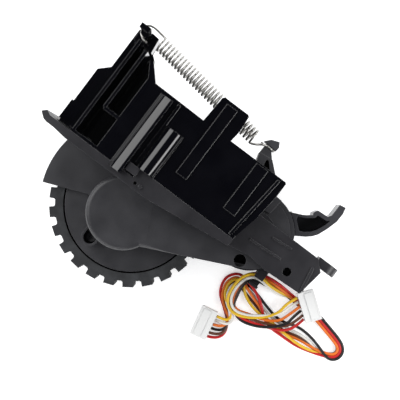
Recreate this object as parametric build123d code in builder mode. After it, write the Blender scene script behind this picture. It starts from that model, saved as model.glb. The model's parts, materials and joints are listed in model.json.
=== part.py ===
"""Drive wheel module of a robot vacuum, laid on its outer side.

The swing arm carries a geared motor and the wheel, and turns about the motor's axis in a fixed frame.
An extension spring between the housing's tower and a lever on the arm pushes the wheel out.

The origin is where the arm's pivot axis meets the flat outer side.
+X runs along the mounting flange towards the screw ear, +Y is up in the robot, and +Z runs along the
wheel's axis towards the robot's middle. All sizes are in millimetres.
"""

import math
import os

from build123d import *

os.makedirs("parts", exist_ok=True)

# Wheel and tyre
wheel_x, wheel_y = -47.4, -22.2
wheel_radius = 35.0
tyre_width = 17.8
lug_count = 26
lug_height = 2.5
lug_width = 4.6
lug_root_fillet = 0.9
tyre_lip_depth = 2.0
tyre_lip = 1.0
tyre_band = 1.5
rim_thickness = 1.75
rim_web = 2.0
hub_radius = 7.0
hub_length = 6.2
spoke_count = 6

# Levels along the wheel's axis
outer_wall = 2.0
wheel_gap = 1.0
arm_gap = 0.7
arm_back_wall = 1.5
cover_split = 24.0
arm_front = 35.5
boss_front = 38.0
plate_back = 38.5
plate_front = 41.0
front_wall_back = 48.0
front_wall_front = 50.0

# Swing arm and gearbox
arm_radius = 15.6
casing_wall = 1.7
boss_drop = 3.6
boss_radius = 15.6
drum_gap = 0.6
drum_back = 10.5
drum_front = 20.5
drum_wall = 1.6
pivot_play = 0.06
front_journal_radius = 6.0
front_journal_length = 4.0
arm_hole_x, arm_hole_y = 2.9, -12.6
arm_hole_radius = 2.6

# Gears
fine_module = 0.5
motor_teeth = 14
first_wheel_teeth = 50
first_pinion_teeth = 15
second_wheel_teeth = 47
second_pinion_teeth = 12
output_teeth = 40
gear_backlash = 0.14
fine_face = 3.0
coarse_face = 5.0
pin_radius = 1.0
pin_play = 0.05
shaft_radius = 3.0
shaft_play = 0.05
square_drive = 4.2

# Motor
motor_radius = arm_radius - 2.0
motor_back = 4.2
motor_shaft_radius = 1.0
motor_boss_radius = 3.0
encoder_disc_radius = 5.0

# Wheel guard
guard_wall = 1.8
guard_gap = 2.0
guard_clearance = 0.3
guard_start, guard_end = 62.0, 202.0

# Base frame
flange_bottom, flange_top = -15.2, -11.5
flange_tip_fillet = 5.0
bar_left, bar_right, bar_top = -52.0, -5.3, -7.1
frame_right = 31.8
frame_bottom, frame_top = -8.7, 7.3
block_left = 17.9
block_wall = 1.6
end_bevel = 4.3
saddle_wall = 1.94
saddle_height = 14.0
saddle_open_from, saddle_open_to = 150.0, 232.0
ear_right = 38.4
ear_bottom, ear_top = 4.6, 8.5
ear_z, ear_width = 30.0, 9.0
ear_hole_radius = 1.7
frame_hole_x, frame_hole_y, frame_hole_radius = 20.6, -4.7, 1.8

# Housing
housing_top = 23.5
housing_right = -1.7
end_wall = 1.06
well_depth = 0.9
flange_overhang = 3.6
fin_top = -1.1
tongue_left, tongue_right, tongue_top = -42.5, -29.5, 36.0
column_x, column_radius, column_z, column_foot = -56.9, 6.7, 47.3, -13.2
screw_boss_x, screw_boss_z, screw_boss_radius, screw_boss_top = -49.2, 50.0, 3.9, 13.0
housing_screw_z, screw_seat = 48.6, -1.1
tower_right = -70.8
tower_back, tower_skin = 28.0, 2.0
tower_step_left = -88.3
tower_step_low, tower_step_high = 15.5, 19.6
rib_thickness = 1.4
peg_x, peg_y, peg_radius = -83.1, 38.3, 2.2

# Spring
spring_z = 42.0
coil_radius = 3.5
spring_wire = 0.9
coil_pitch = 1.72
coil_start_x, coil_start_y = -76.0, 38.4
coil_end_x, coil_end_y = -26.5, 31.5

# Wires
wire_diameter = 1.3

# Values worked out from the ones above
wheel_back = outer_wall + wheel_gap
wheel_front = wheel_back + tyre_width
arm_back = wheel_front + arm_gap
arm_floor = arm_back + arm_back_wall
arm_length = math.hypot(wheel_x, wheel_y)
arm_angle = math.degrees(math.atan2(wheel_y, wheel_x)) % 360
tread_root = wheel_radius - lug_height
rim_radius = tread_root - tyre_band
tyre_lip_radius = rim_radius - tyre_lip_depth
drum_radius = tyre_lip_radius - drum_gap
guard_radius = wheel_radius + guard_gap + guard_wall
tower_left = -(arm_length + guard_radius + guard_clearance + end_wall)
well_left = tower_left - well_depth
opening_left = well_left + 0.2
flange_left = well_left - flange_overhang
saddle_radius = arm_radius + pivot_play + saddle_wall


def level(height):
    """A horizontal plane at the given height in the robot, whose sketch runs along X and Z."""
    return Plane.XZ.offset(-height)


def finish(part, name):
    part.label = name
    export_step(part, f"parts/{name}.step")


def polar(radius, angle, centre=(0.0, 0.0)):
    """The point at a radius and an angle in degrees from a centre."""
    turn = math.radians(angle)
    return (centre[0] + radius * math.cos(turn), centre[1] + radius * math.sin(turn))


def involute(angle):
    return math.tan(angle) - angle


def gear_outline(teeth, module, phase, centre):
    """Adds a gear's face with involute flanks to the sketch, with a tooth's middle at the phase angle."""
    pressure = math.radians(20)
    pitch = teeth * module / 2
    base = pitch * math.cos(pressure)
    tip = pitch + 0.9 * module
    root = pitch - 1.15 * module
    half_at_pitch = math.pi / (2 * teeth) - gear_backlash / (2 * pitch)
    low = max(root, base)
    flank = []
    for share in (0.0, 0.5, 1.0):
        radius = low + share * (tip - low)
        lean = involute(pressure) - involute(math.acos(min(1.0, base / radius)))
        flank.append((radius, half_at_pitch + lean))
    if root < base:
        flank.insert(0, (root, flank[0][1]))
    points = []
    for tooth in range(teeth):
        middle = math.radians(phase) + 2 * math.pi * tooth / teeth
        for radius, half in flank:
            points.append(polar(radius, math.degrees(middle - half), centre))
        for radius, half in reversed(flank):
            points.append(polar(radius, math.degrees(middle + half), centre))
    Polygon(*points, align=None)


def span(left, right, bottom, top, mode=Mode.ADD):
    """Adds a rectangle to the sketch by its limits."""
    with Locations(((left + right) / 2, (bottom + top) / 2)):
        Rectangle(right - left, top - bottom, mode=mode)


def meshing_phase(teeth, phase, other_teeth, towards):
    """The phase of a gear that meshes with one of the given teeth and phase, in the direction towards it."""
    share = (towards - phase) * teeth / 360
    return towards + 180 - (0.5 - share) * 360 / other_teeth


# Gear train in line with the arm: motor, two compound gears and the output gear
first_reach = fine_module * (motor_teeth + first_wheel_teeth) / 2
second_reach = fine_module * (first_pinion_teeth + second_wheel_teeth) / 2
output_reach = arm_length - first_reach - second_reach
coarse_module = 2 * output_reach / (second_pinion_teeth + output_teeth)
pivot_point = (0.0, 0.0)
wheel_point = (wheel_x, wheel_y)
first_point = polar(first_reach, arm_angle)
second_point = polar(first_reach + second_reach, arm_angle)
boss_point = (wheel_x, wheel_y - boss_drop)

motor_phase = 0.0
first_wheel_phase = meshing_phase(motor_teeth, motor_phase, first_wheel_teeth, arm_angle)
first_pinion_phase = first_wheel_phase
second_wheel_phase = meshing_phase(first_pinion_teeth, first_pinion_phase, second_wheel_teeth, arm_angle)
second_pinion_phase = second_wheel_phase
output_phase = meshing_phase(second_pinion_teeth, second_pinion_phase, output_teeth, arm_angle)

motor_pinion_base = arm_floor + 1.2
first_wheel_base = arm_floor + 1.4
first_pinion_base = first_wheel_base + fine_face
second_wheel_base = first_pinion_base + 0.6
second_pinion_base = drum_back + drum_wall + 1.2
output_base = second_pinion_base + 0.4
cover_inside = arm_front - casing_wall

# Tyre
with BuildPart() as tyre:
    with BuildSketch(Plane.XY.offset(wheel_back)):
        with Locations(wheel_point):
            Circle(tread_root)
            with PolarLocations(wheel_radius - lug_height, lug_count):
                Rectangle(2 * lug_height, lug_width)
        root_corners = [
            corner
            for corner in vertices()
            if abs(math.hypot(corner.X - wheel_x, corner.Y - wheel_y) - tread_root) < 0.05
        ]
        fillet(root_corners, lug_root_fillet)
        with Locations(wheel_point):
            Circle(tyre_lip_radius, mode=Mode.SUBTRACT)
    extrude(amount=tyre_width)
    with BuildSketch(Plane.XY.offset(wheel_back + tyre_lip)):
        with Locations(wheel_point):
            Circle(rim_radius)
    extrude(amount=tyre_width - 2 * tyre_lip, mode=Mode.SUBTRACT)
finish(tyre.part, "tyre")

# Wheel rim with its web, spokes and hub
rim_play = 0.05
rim_back = wheel_back + tyre_lip + rim_play
rim_front = wheel_front - tyre_lip - rim_play
screw_head_radius, screw_head_height = 2.6, 1.6
with BuildPart() as wheel_rim:
    with BuildSketch(Plane.XY.offset(rim_back)):
        with Locations(wheel_point):
            Circle(rim_radius - rim_play)
            Circle(rim_radius - rim_play - rim_thickness, mode=Mode.SUBTRACT)
    extrude(amount=rim_front - rim_back)
    with BuildSketch(Plane.XY.offset(rim_back)):
        with Locations(wheel_point):
            Circle(rim_radius - rim_play - rim_thickness / 2)
    extrude(amount=rim_web)
    with BuildSketch(Plane.XY.offset(rim_back - 0.6)):
        with Locations(wheel_point):
            Circle(hub_radius + 2)
            with PolarLocations(17.5, spoke_count):
                Rectangle(20, 4)
    extrude(amount=0.7)
    with BuildSketch(Plane.XY.offset(rim_back)):
        with Locations(wheel_point):
            Circle(hub_radius)
    extrude(amount=hub_length)
    with BuildSketch(Plane.XY.offset(rim_back - 0.6)):
        with Locations(wheel_point):
            Circle(screw_head_radius + 0.2)
    extrude(amount=screw_head_height + 0.3, mode=Mode.SUBTRACT)
    with BuildSketch(Plane.XY.offset(rim_back)):
        with Locations(wheel_point):
            Rectangle(square_drive + 0.1, square_drive + 0.1)
    extrude(amount=hub_length, mode=Mode.SUBTRACT)
finish(wheel_rim.part, "wheel_rim")

# Output shaft, square where the hub sits on it
hub_front = rim_back + hub_length
square_back = rim_back - 0.6 + screw_head_height + 0.3
screw_hole_radius = 1.25
with BuildPart() as output_shaft:
    with BuildSketch(Plane.XY.offset(square_back)):
        with Locations(wheel_point):
            Rectangle(square_drive, square_drive)
    extrude(amount=hub_front + 0.2 - square_back)
    with BuildSketch(Plane.XY.offset(hub_front + 0.2)):
        with Locations(wheel_point):
            Circle(shaft_radius)
    extrude(amount=output_base + coarse_face + 0.5 - hub_front - 0.2)
    with BuildSketch(Plane.XY.offset(output_base + coarse_face + 0.5)):
        with Locations(wheel_point):
            Circle(shaft_radius - 0.5)
    extrude(amount=cover_inside - 1 - output_base - coarse_face - 0.5)
    with BuildSketch(Plane.XY.offset(square_back)):
        with Locations(wheel_point):
            Circle(screw_hole_radius)
    extrude(amount=6, mode=Mode.SUBTRACT)
finish(output_shaft.part, "output_shaft")

# Hub screw, entered from the outer side
with BuildPart() as hub_screw:
    with BuildSketch(Plane.XY.offset(square_back - 0.05)):
        with Locations(wheel_point):
            Circle(screw_hole_radius - 0.05)
    extrude(amount=5)
    with BuildSketch(Plane.XY.offset(square_back - 0.05)):
        with Locations(wheel_point):
            Circle(screw_head_radius)
    extrude(amount=-screw_head_height)
    fillet(faces().sort_by(Axis.Z)[0].edges(), 0.6)
    with BuildSketch(Plane.XY.offset(square_back - 0.05 - screw_head_height)):
        with Locations(wheel_point):
            Rectangle(3.0, 0.7)
            Rectangle(0.7, 3.0)
    extrude(amount=0.8, mode=Mode.SUBTRACT)
finish(hub_screw.part, "hub_screw")

# Output gear
with BuildPart() as output_gear:
    with BuildSketch(Plane.XY.offset(output_base)):
        gear_outline(output_teeth, coarse_module, output_phase, wheel_point)
        with Locations(wheel_point):
            Circle(shaft_radius + 0.02, mode=Mode.SUBTRACT)
    extrude(amount=coarse_face)
finish(output_gear.part, "output_gear")

# Compound gears
with BuildPart() as first_gear:
    with BuildSketch(Plane.XY.offset(first_wheel_base)):
        gear_outline(first_wheel_teeth, fine_module, first_wheel_phase, first_point)
    extrude(amount=fine_face)
    with BuildSketch(Plane.XY.offset(first_pinion_base)):
        gear_outline(first_pinion_teeth, fine_module, first_pinion_phase, first_point)
    extrude(amount=second_wheel_base + fine_face + 0.3 - first_pinion_base)
    with BuildSketch(Plane.XY.offset(first_wheel_base)):
        with Locations(first_point):
            Circle(pin_radius + pin_play)
    extrude(amount=cover_inside, mode=Mode.SUBTRACT)
finish(first_gear.part, "first_gear")

neck_radius = 2.4
second_pinion_face = coarse_face + 0.8
with BuildPart() as second_gear:
    with BuildSketch(Plane.XY.offset(second_wheel_base)):
        gear_outline(second_wheel_teeth, fine_module, second_wheel_phase, second_point)
    extrude(amount=fine_face)
    with BuildSketch(Plane.XY.offset(second_pinion_base)):
        with Locations(second_point):
            Circle(neck_radius)
    extrude(amount=second_wheel_base - second_pinion_base)
    with BuildSketch(Plane.XY.offset(second_pinion_base)):
        gear_outline(second_pinion_teeth, coarse_module, second_pinion_phase, second_point)
    extrude(amount=second_pinion_face)
    with BuildSketch(Plane.XY.offset(second_pinion_base)):
        with Locations(second_point):
            Circle(pin_radius + pin_play)
    extrude(amount=cover_inside, mode=Mode.SUBTRACT)
finish(second_gear.part, "second_gear")

# Steel pins that the compound gears turn on
pin_seat = 1.0
socket_play = 0.03
first_pin_back = arm_floor - pin_seat
second_pin_back = drum_back + drum_wall - pin_seat
pin_front = cover_inside + 0.6
with BuildPart() as gear_pins:
    for point, back in ((first_point, first_pin_back), (second_point, second_pin_back)):
        with BuildSketch(Plane.XY.offset(back)):
            with Locations(point):
                Circle(pin_radius)
        extrude(amount=pin_front - back)
finish(gear_pins.part, "gear_pins")

# Motor, its shaft, pinion and encoder disc
motor_front = arm_back - 0.1
barrel_radius = arm_radius
barrel_back = outer_wall + 0.6
barrel_bore = motor_radius + 0.1
motor_shaft_end = cover_inside - 2.2
rotor_back = motor_back + 8
shaft_fit = 0.02
encoder_base = second_wheel_base + 0.4
with BuildPart() as motor_can:
    with BuildSketch(Plane.XY.offset(motor_back)):
        Circle(motor_radius)
    extrude(amount=motor_front - motor_back)
    fillet(edges().filter_by(GeomType.CIRCLE), 1.2)
    with BuildSketch(Plane.XY.offset(motor_front)):
        Circle(motor_boss_radius)
    extrude(amount=arm_back_wall + 0.3)
    with BuildSketch(Plane.XY.offset(rotor_back - 0.2)):
        Circle(motor_shaft_radius + 0.06)
    extrude(amount=motor_front, mode=Mode.SUBTRACT)
finish(motor_can.part, "motor_can")

with BuildPart() as motor_shaft:
    with BuildSketch(Plane.XY.offset(rotor_back)):
        Circle(motor_shaft_radius)
    extrude(amount=motor_shaft_end - rotor_back)
finish(motor_shaft.part, "motor_shaft")

with BuildPart() as motor_pinion:
    with BuildSketch(Plane.XY.offset(motor_pinion_base)):
        gear_outline(motor_teeth, fine_module, motor_phase, pivot_point)
        Circle(motor_shaft_radius + shaft_fit, mode=Mode.SUBTRACT)
    extrude(amount=fine_face + 0.4)
finish(motor_pinion.part, "motor_pinion")

with BuildPart() as encoder_disc:
    with BuildSketch(Plane.XY.offset(encoder_base)):
        Circle(encoder_disc_radius)
        Circle(motor_shaft_radius + shaft_fit, mode=Mode.SUBTRACT)
    extrude(amount=1.8)
finish(encoder_disc.part, "encoder_disc")

board_radius = 10.0
board_thickness = 1.0
board_front = cover_inside - 0.8
post_spread = 7.5
post_radius = 1.6
with BuildPart() as encoder_board:
    with BuildSketch(Plane.XY.offset(board_front - board_thickness)):
        Circle(board_radius)
        Circle(motor_shaft_radius + 0.8, mode=Mode.SUBTRACT)
    extrude(amount=board_thickness)
    with BuildSketch(Plane.XY.offset(board_front - board_thickness)):
        with PolarLocations(3.6, 2, 60):
            Rectangle(2.0, 1.4)
    extrude(amount=-0.8)
finish(encoder_board.part, "encoder_board")

# Screws that hold the two halves of the casing
casing_screw_radius = 0.9
casing_head_radius = 1.8
casing_head_height = 1.2
casing_screw_length = 6.0
casing_screw_along = 23.8
casing_screw_aside = 13.0
casing_boss_radius = 1.9
pocket_x, pocket_y = -52.9, -43.1
pocket_radius = 2.7
pocket_wall = 1.1
pocket_top = 27.0
pocket_head_radius = 2.1
pocket_screw_length = 6.0
beside = [polar(side * casing_screw_aside, arm_angle + 90) for side in (-1, 1)]
along_x, along_y = polar(casing_screw_along, arm_angle)
casing_screw_points = [(along_x + aside_x, along_y + aside_y) for aside_x, aside_y in beside]
head_seat = arm_back + casing_head_height + 0.1
with BuildPart() as casing_screws:
    with BuildSketch(Plane.XY.offset(head_seat)):
        with Locations(*casing_screw_points):
            Circle(casing_head_radius)
    extrude(amount=-casing_head_height)
    with BuildSketch(Plane.XY.offset(head_seat)):
        with Locations(*casing_screw_points):
            Circle(casing_screw_radius)
    extrude(amount=casing_screw_length)
    with BuildSketch(Plane.XY.offset(head_seat - casing_head_height)):
        with Locations(*casing_screw_points):
            Rectangle(2.2, 0.5)
            Rectangle(0.5, 2.2)
    extrude(amount=0.6, mode=Mode.SUBTRACT)
    with BuildSketch(Plane.XY.offset(drum_front)):
        with Locations((pocket_x, pocket_y)):
            Circle(pocket_head_radius)
    extrude(amount=casing_head_height + 0.3)
    with BuildSketch(Plane.XY.offset(drum_front)):
        with Locations((pocket_x, pocket_y)):
            Circle(casing_screw_radius)
    extrude(amount=-pocket_screw_length)
    with BuildSketch(Plane.XY.offset(drum_front + casing_head_height + 0.3)):
        with Locations((pocket_x, pocket_y)):
            Rectangle(2.4, 0.6)
            Rectangle(0.6, 2.4)
    extrude(amount=-0.7, mode=Mode.SUBTRACT)
finish(casing_screws.part, "casing_screws")

tip_clearance = 0.4
first_bulge = (first_wheel_teeth / 2 + 0.9) * fine_module + tip_clearance + casing_wall
second_bulge = (second_wheel_teeth / 2 + 0.9) * fine_module + tip_clearance + casing_wall


def arm_outline(inset=0.0, mode=Mode.ADD):
    """Adds the casing's outline to the sketch: the round end, the gears' bulges, the arm and the boss."""
    lower_start = polar(arm_radius - inset, arm_angle + 90)
    lower_x, lower_y = polar(arm_length - 4, arm_angle)
    lower_end = (lower_start[0] + lower_x, lower_start[1] + lower_y)
    upper_end = polar(boss_radius - inset, arm_angle - 86, boss_point)
    upper_start = polar(arm_radius - inset, arm_angle - 90)
    Polygon(lower_start, lower_end, boss_point, upper_end, upper_start, align=None, mode=mode)
    Circle(arm_radius - inset, mode=mode)
    with Locations(first_point):
        Circle(first_bulge - inset, mode=mode)
    with Locations(second_point):
        Circle(second_bulge - inset, mode=mode)
    with Locations(boss_point):
        Circle(boss_radius - inset, mode=mode)


def sector(inner, outer, start, end, centre=(0.0, 0.0)):
    """Adds a piece of a ring between two angles to the sketch."""
    steps = max(2, round(abs(end - start) / 4))
    turns = [start + (end - start) * step / steps for step in range(steps + 1)]
    with Locations(centre):
        Circle(outer)
        Circle(inner, mode=Mode.SUBTRACT)
    wedge = [centre] + [polar(outer * 1.2, turn, centre) for turn in turns]
    Polygon(*wedge, align=None, mode=Mode.INTERSECT)


# Rear shell: the drum inside the wheel, the arm's back and the motor barrel
link_radius = drum_radius - drum_wall
seam = 0.1
bush_radius = 5.0
bush_length = 3.0
bush_boss_radius = 7.0
with BuildPart() as rear_shell:
    with BuildSketch(Plane.XY.offset(drum_back)):
        with Locations(wheel_point):
            Circle(drum_radius)
    extrude(amount=drum_front - drum_wall - drum_back)
    fillet(faces().sort_by(Axis.Z)[0].edges(), 1.0)
    with BuildSketch(Plane.XY.offset(drum_back + drum_wall)):
        with Locations(wheel_point):
            Circle(link_radius)
    extrude(amount=drum_front, mode=Mode.SUBTRACT)
    with BuildSketch(Plane.XY.offset(drum_front - drum_wall)):
        arm_outline()
        with Locations(wheel_point):
            Circle(drum_radius, mode=Mode.INTERSECT)
            Circle(link_radius, mode=Mode.SUBTRACT)
    extrude(amount=arm_back - drum_front + drum_wall)
    with BuildSketch(Plane.XY.offset(arm_back)):
        arm_outline()
        with Locations(wheel_point):
            Circle(link_radius, mode=Mode.SUBTRACT)
    extrude(amount=cover_split - arm_back)
    with BuildSketch(Plane.XY.offset(arm_floor)):
        arm_outline(casing_wall)
    extrude(amount=cover_split, mode=Mode.SUBTRACT)
    with BuildSketch(Plane.XY.offset(barrel_back)):
        Circle(barrel_radius)
    extrude(amount=arm_back - barrel_back)
    with BuildSketch(Plane.XY.offset(barrel_back)):
        Circle(barrel_bore)
    extrude(amount=arm_back - barrel_back, mode=Mode.SUBTRACT)
    with BuildSketch(Plane.XY.offset(arm_back)):
        Circle(motor_boss_radius + 0.1)
    extrude(amount=arm_back_wall, mode=Mode.SUBTRACT)
    with BuildSketch(Plane.XY.offset(arm_floor - 0.5)):
        with Locations(first_point):
            Circle(2.4)
    extrude(amount=first_wheel_base - arm_floor + 0.3)
    with BuildSketch(Plane.XY.offset(drum_back + 0.5)):
        with Locations(second_point):
            Circle(2.8)
    extrude(amount=second_pinion_base - drum_back - 0.7)
    with BuildSketch(Plane.XY.offset(drum_back)):
        with Locations(wheel_point):
            Circle(bush_boss_radius)
    extrude(amount=bush_length)
    with BuildSketch(Plane.XY.offset(drum_back)):
        with Locations((pocket_x, pocket_y)):
            Circle(casing_boss_radius + 0.4)
    extrude(amount=drum_front - drum_wall - drum_back)
    with BuildSketch(Plane.XY.offset(drum_front - pocket_screw_length - 0.2)):
        with Locations((pocket_x, pocket_y)):
            Circle(casing_screw_radius + 0.02)
    extrude(amount=pocket_screw_length, mode=Mode.SUBTRACT)
    with BuildSketch(Plane.XY.offset(drum_back)):
        with Locations(wheel_point):
            Circle(bush_radius)
    extrude(amount=bush_length, mode=Mode.SUBTRACT)
    with BuildSketch(Plane.XY.offset(arm_back)):
        with Locations(*casing_screw_points):
            Circle(casing_boss_radius + 0.5)
    extrude(amount=cover_split - arm_back)
    with BuildSketch(Plane.XY.offset(arm_back)):
        with Locations(*casing_screw_points):
            Circle(casing_screw_radius + 0.15)
    extrude(amount=cover_split, mode=Mode.SUBTRACT)
    with BuildSketch(Plane.XY.offset(arm_back)):
        with Locations(*casing_screw_points):
            Circle(casing_head_radius + 0.15)
    extrude(amount=casing_head_height + 0.1, mode=Mode.SUBTRACT)
    for point, back in ((first_point, first_pin_back), (second_point, second_pin_back)):
        with BuildSketch(Plane.XY.offset(back)):
            with Locations(point):
                Circle(pin_radius + socket_play)
        extrude(amount=pin_seat + 2.5, mode=Mode.SUBTRACT)
finish(rear_shell.part, "gearbox_rear_shell")

with BuildPart() as output_bush:
    with BuildSketch(Plane.XY.offset(drum_back)):
        with Locations(wheel_point):
            Circle(bush_radius - socket_play)
            Circle(shaft_radius + shaft_play, mode=Mode.SUBTRACT)
    extrude(amount=bush_length)
finish(output_bush.part, "output_bush")

# Cap that closes the motor barrel
with BuildPart() as barrel_cap:
    with BuildSketch(Plane.XY.offset(barrel_back)):
        Circle(barrel_bore - shaft_fit)
    extrude(amount=motor_back - barrel_back)
    with BuildSketch(Plane.XY.offset(barrel_back)):
        Circle(2.5)
        with PolarLocations(9.0, 3, 90):
            SlotOverall(7.0, 2.2, rotation=90)
    extrude(amount=0.8, mode=Mode.SUBTRACT)
finish(barrel_cap.part, "barrel_cap")

# Front cover: the disc over the drum, the casing's walls, its front and the domed boss
dome_fillet = 2.0
slope_start, slope_end = 14.0, arm_length - 10.0
socket_radius = 2.3
with BuildPart() as front_cover:
    with BuildSketch(Plane.XY.offset(drum_front - drum_wall)):
        with Locations(wheel_point):
            Circle(drum_radius)
        arm_outline(mode=Mode.SUBTRACT)
    extrude(amount=drum_wall)
    with BuildSketch(Plane.XY.offset(drum_front - drum_wall)):
        arm_outline()
        with Locations(wheel_point):
            Circle(link_radius - seam, mode=Mode.INTERSECT)
    extrude(amount=cover_split - drum_front + drum_wall)
    with BuildSketch(Plane.XY.offset(cover_split)):
        arm_outline()
    extrude(amount=boss_front - cover_split)
    fillet(faces().sort_by(Axis.Z)[-1].edges(), dome_fillet)
    with BuildSketch(Plane(origin=(0, 0, 0), x_dir=(*polar(1, arm_angle), 0), z_dir=(*polar(1, arm_angle - 90), 0))):
        Polygon(
            (-30, arm_front),
            (slope_start, arm_front),
            (slope_end, boss_front),
            (slope_end, boss_front + 5),
            (-30, boss_front + 5),
            align=None,
        )
    extrude(amount=60, both=True, mode=Mode.SUBTRACT)
    with BuildSketch(Plane.XY.offset(drum_front - drum_wall)):
        arm_outline(casing_wall)
    extrude(amount=cover_inside - drum_front + drum_wall, mode=Mode.SUBTRACT)
    with BuildSketch(Plane.XY.offset(arm_front)):
        Circle(front_journal_radius)
    extrude(amount=front_journal_length)
    with BuildSketch(Plane.XY.offset(cover_inside)):
        with Locations(first_point, second_point):
            Circle(socket_radius)
    extrude(amount=second_wheel_base + fine_face + 0.6 - cover_inside)
    with BuildSketch(Plane.XY.offset(pin_front + socket_play)):
        with Locations(first_point, second_point):
            Circle(pin_radius + socket_play)
    extrude(amount=-4, mode=Mode.SUBTRACT)
    with BuildSketch(Plane.XY.offset(cover_inside)):
        with Locations(wheel_point):
            Circle(shaft_radius + 1.2)
            Circle(shaft_radius - 0.5 + shaft_play, mode=Mode.SUBTRACT)
    extrude(amount=-5)
    with BuildSketch(Plane.XY.offset(cover_inside)):
        with PolarLocations(post_spread, 3, 30):
            Circle(post_radius)
    extrude(amount=board_front - cover_inside)
    with BuildSketch(Plane.XY.offset(cover_inside)):
        with Locations(*casing_screw_points):
            Circle(casing_boss_radius)
    extrude(amount=cover_split - cover_inside)
    with BuildSketch(Plane.XY.offset(cover_split)):
        with Locations(*casing_screw_points):
            Circle(casing_screw_radius + 0.02)
    extrude(amount=casing_screw_length, mode=Mode.SUBTRACT)
    with BuildSketch(Plane.XY.offset(drum_front)):
        with Locations((pocket_x, pocket_y)):
            Circle(pocket_radius + pocket_wall)
            Polygon((-3.8, 0), (-3.6, 4.6), (-0.6, 3.0), (-0.6, 0), align=None)
        arm_outline(casing_wall / 2, mode=Mode.SUBTRACT)
    extrude(amount=pocket_top - drum_front)
    with BuildSketch(Plane.XY.offset(drum_front)):
        with Locations((pocket_x, pocket_y)):
            Circle(pocket_radius)
            Polygon((-2.7, 0), (-2.6, 4.2), (-0.6, 3.0), (-0.6, 0), align=None)
        arm_outline(mode=Mode.SUBTRACT)
    extrude(amount=pocket_top - drum_front, mode=Mode.SUBTRACT)
    with BuildSketch(Plane.XY.offset(drum_front)):
        with Locations((pocket_x, pocket_y)):
            Circle(casing_screw_radius + 0.15)
    extrude(amount=-drum_wall, mode=Mode.SUBTRACT)
    with BuildSketch(Plane.XY.offset(arm_front)):
        with Locations((arm_hole_x, arm_hole_y)):
            Circle(arm_hole_radius)
    extrude(amount=-2.6, mode=Mode.SUBTRACT)
finish(front_cover.part, "gearbox_cover")

# Wheel guard: a quarter drum round the wheel, seated on the disc
guard_back = 3.4
guard_plate_back = wheel_front + 0.6
guard_front = 23.2
guard_corner = polar(guard_radius, 203, wheel_point)
guard_foot = (-64.6, -30.2)


def guard_cut():
    """Takes the casing and what lies below the guard's lower edge off the sketch."""
    arm_outline(-0.1, mode=Mode.SUBTRACT)
    low = (guard_corner[0] - 6, guard_corner[1] - 12)
    Polygon(guard_foot, (-83.4, -36.7), low, (guard_foot[0], low[1]), align=None, mode=Mode.SUBTRACT)


with BuildPart() as wheel_guard:
    with BuildSketch(Plane.XY.offset(guard_plate_back)):
        sector(10, guard_radius, guard_start, guard_end, wheel_point)
        guard_cut()
    extrude(amount=guard_front - guard_plate_back)
    with BuildSketch(Plane.XY.offset(drum_front)):
        sector(10, drum_radius - 0.2, guard_start, guard_end, wheel_point)
        guard_cut()
    extrude(amount=guard_plate_back - drum_front)
    with BuildSketch(Plane.XY.offset(guard_back)):
        sector(guard_radius - guard_wall, guard_radius, guard_start, guard_end, wheel_point)
        guard_cut()
    extrude(amount=guard_plate_back - guard_back)
finish(wheel_guard.part, "wheel_guard")

# Spring lever: its collar carries the switch cam, and its arrow-shaped head holds the spring's lower loop
collar_inner = arm_radius + 0.05
cam_low, cam_high = arm_radius + 0.9, arm_radius + 1.8
collar_back, collar_front = 28.5, 34.5
collar_start, collar_end = -20.0, 122.0
lever_back, lever_front = 31.0, 44.0
neck_back, neck_front = 39.5, 43.5
with BuildPart() as spring_lever:
    with BuildSketch(Plane.XY.offset(collar_back)):
        cam = [polar(cam_low, collar_start + 5 * step) for step in range(4)]
        cam += [polar(cam_low + (cam_high - cam_low) * step / 10, 3 * step) for step in range(11)]
        cam += [polar(cam_high, 30 + (collar_end - 30) * step / 24) for step in range(1, 25)]
        Polygon((0, 0), *cam, align=None)
        Circle(collar_inner, mode=Mode.SUBTRACT)
    extrude(amount=collar_front - collar_back)
    with BuildSketch(Plane.XY.offset(lever_back)):
        Polygon(
            polar(cam_high - 0.6, 118),
            (-15.4, 19.0),
            (-16.7, 24.2),
            (-17.6, 27.4),
            (-11.6, 27.9),
            (-7.0, 23.8),
            (-2.6, 18.6),
            polar(cam_high - 0.6, 96),
            align=None,
        )
        Circle(cam_high - 0.5, mode=Mode.SUBTRACT)
    extrude(amount=lever_front - lever_back)
    with BuildSketch(Plane.XY.offset(lever_front)):
        Polygon((-13.0, 22.2), (-13.6, 26.6), (-12.6, 26.8), (-9.2, 23.0), (-9.6, 21.6), align=None)
    extrude(amount=-8, mode=Mode.SUBTRACT)
    with BuildSketch(Plane.XY.offset(neck_back)):
        Polygon((-17.7, 26.8), (-17.6, 29.4), (-14.1, 30.6), (-11.2, 27.2), align=None)
    extrude(amount=neck_front - neck_back)
    with BuildSketch(Plane.XY.offset(neck_back)):
        Polygon((-17.6, 29.0), (-17.4, 32.6), (-14.8, 33.8), (-14.0, 30.2), align=None)
    extrude(amount=neck_front - neck_back)
    with BuildSketch(Plane.XY.offset(neck_back - 0.6)):
        Polygon((-18.8, 32.0), (-16.8, 34.2), (-13.6, 35.4), (-12.4, 33.4), (-12.6, 31.6), align=None)
    extrude(amount=neck_front - neck_back + 1.2)
    with BuildSketch(Plane.XY.offset(arm_front)):
        sector(10, arm_radius, 84, 118)
    extrude(amount=2)
    with BuildSketch(Plane.XY.offset(arm_front)):
        sector(arm_radius - 0.2, cam_high, 84, 118)
    extrude(amount=2)
    with BuildSketch(Plane.XY.offset(collar_front - 0.5)):
        sector(collar_inner, cam_high, 84, 118)
    extrude(amount=arm_front + 0.5 - collar_front + 0.2)
finish(spring_lever.part, "spring_lever")

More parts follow.
